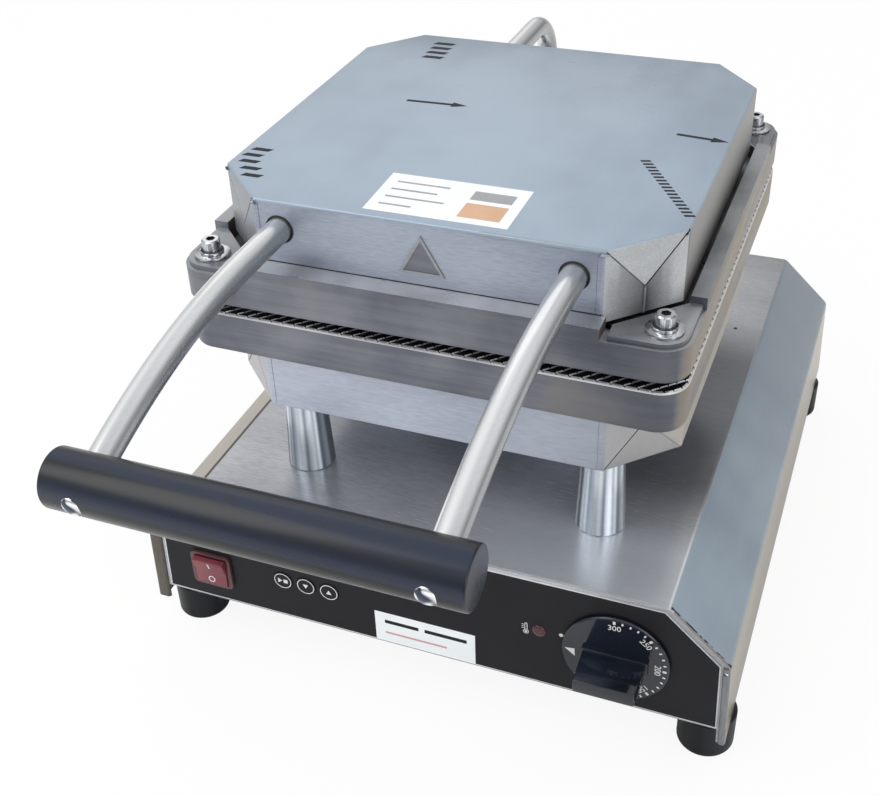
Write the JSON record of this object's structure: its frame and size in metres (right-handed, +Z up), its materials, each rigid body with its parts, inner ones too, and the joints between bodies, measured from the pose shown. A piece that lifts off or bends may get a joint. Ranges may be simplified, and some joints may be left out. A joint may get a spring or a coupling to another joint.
{
  "type": "stroopwafel iron",
  "caption": "Countertop iron for thin round waffles: two cast plates under a hinged hood with a long grip, on a slant-sided steel base with a rocker switch, keys and a thermostat dial.",
  "frame": {"origin": "on the ground, below the middle of the whole machine", "axes": "+Z up, +Y from the handle at the front to the rear, +X to the right as seen from the front"},
  "size_m": [0.3788, 0.5926, 0.3172],
  "materials": {
    "brushed_steel": "brushed",
    "filmed_steel": "brushed steel under a pale blue protective film",
    "cast_iron": "machined grey",
    "cast_aluminium": "satin turned",
    "bright_steel": "bright",
    "zinc_steel": "plain zinc plated",
    "black_panel": "satin printed film",
    "black_gloss": "gloss",
    "black_matt": "satin",
    "black_rubber": "matt",
    "red_lens": "clear red",
    "mineral_wool": "fibrous",
    "board_green": "satin",
    "grey_plastic": "matt",
    "brass": "satin"
  },
  "bodies": {
    "base": {"base_housing": "brushed_steel", "front_panel": "black_panel", "rear_panel": "brushed_steel", "bottom_plate": "zinc_steel", "foot_front_left": "black_rubber", "foot_front_right": "black_rubber", "foot_rear_left": "black_rubber", "foot_rear_right": "black_rubber", "standoff_front_left": "cast_aluminium", "standoff_front_right": "cast_aluminium", "standoff_rear_left": "cast_aluminium", "standoff_rear_right": "cast_aluminium", "lower_casing": "brushed_steel", "lower_plate": "cast_iron", "lower_heater": "zinc_steel", "lower_insulation": "mineral_wool", "lower_bolt_front_left": "zinc_steel", "lower_bolt_front_right": "zinc_steel", "lower_bolt_rear_left": "zinc_steel", "lower_bolt_rear_right": "zinc_steel", "thermostat_body": "zinc_steel", "thermostat_bulb": "brass", "switch_housing": "black_matt", "indicator_lamp": "red_lens", "timer_board": "board_green", "timer_display": "black_gloss", "contactor": "grey_plastic", "terminal_block": "grey_plastic", "cable_gland": "black_matt", "hinge_lug_lower_left": "cast_iron", "hinge_lug_lower_right": "cast_iron", "hinge_pin": "bright_steel"},
    "lid": {"upper_plate": "cast_iron", "hood": "filmed_steel", "badge": "zinc_steel", "upper_heater": "zinc_steel", "upper_insulation": "mineral_wool", "cap_screw_front_left": "bright_steel", "cap_screw_front_right": "bright_steel", "cap_screw_rear_left": "bright_steel", "cap_screw_rear_right": "bright_steel", "washer_front_left": "zinc_steel", "washer_front_right": "zinc_steel", "washer_rear_left": "zinc_steel", "washer_rear_right": "zinc_steel", "handle_tube_left": "brushed_steel", "handle_tube_right": "brushed_steel", "handle_grip": "black_matt", "handle_screw_left": "bright_steel", "handle_screw_right": "bright_steel", "conduit_tube": "brushed_steel", "conduit_bushing": "black_rubber", "hinge_lug_upper_left": "cast_iron", "hinge_lug_upper_right": "cast_iron"},
    "dial": {"thermostat_knob": "black_gloss", "thermostat_shaft": "brass"},
    "rocker": {"switch_rocker": "red_lens"},
    "start_key": {"key_start": "black_panel"},
    "down_key": {"key_down": "black_panel"},
    "up_key": {"key_up": "black_panel"}
  },
  "joints": [
    {"name": "lid_hinge", "type": "hinge", "parent": "base", "child": "lid", "pos_m": [0, 0.20634, 0.252], "axis": [-1, 0, 0], "range_deg": [0, 100]},
    {"name": "dial_turn", "type": "hinge", "parent": "base", "child": "dial", "pos_m": [0.121, -0.126, 0.0786], "axis": [0, 1, 0], "range_deg": [0, 290]},
    {"name": "rocker_tip", "type": "hinge", "parent": "base", "child": "rocker", "pos_m": [-0.1404, -0.12536, 0.066], "axis": [-1, 0, 0], "range_deg": [0, 16]},
    {"name": "start_press", "type": "slide", "parent": "base", "child": "start_key", "axis": [0, 1, 0], "range_m": [0, 0.0008], "stiffness_N_per_m": 500},
    {"name": "down_press", "type": "slide", "parent": "base", "child": "down_key", "axis": [0, 1, 0], "range_m": [0, 0.0008], "stiffness_N_per_m": 500},
    {"name": "up_press", "type": "slide", "parent": "base", "child": "up_key", "axis": [0, 1, 0], "range_m": [0, 0.0008], "stiffness_N_per_m": 500}
  ]
}
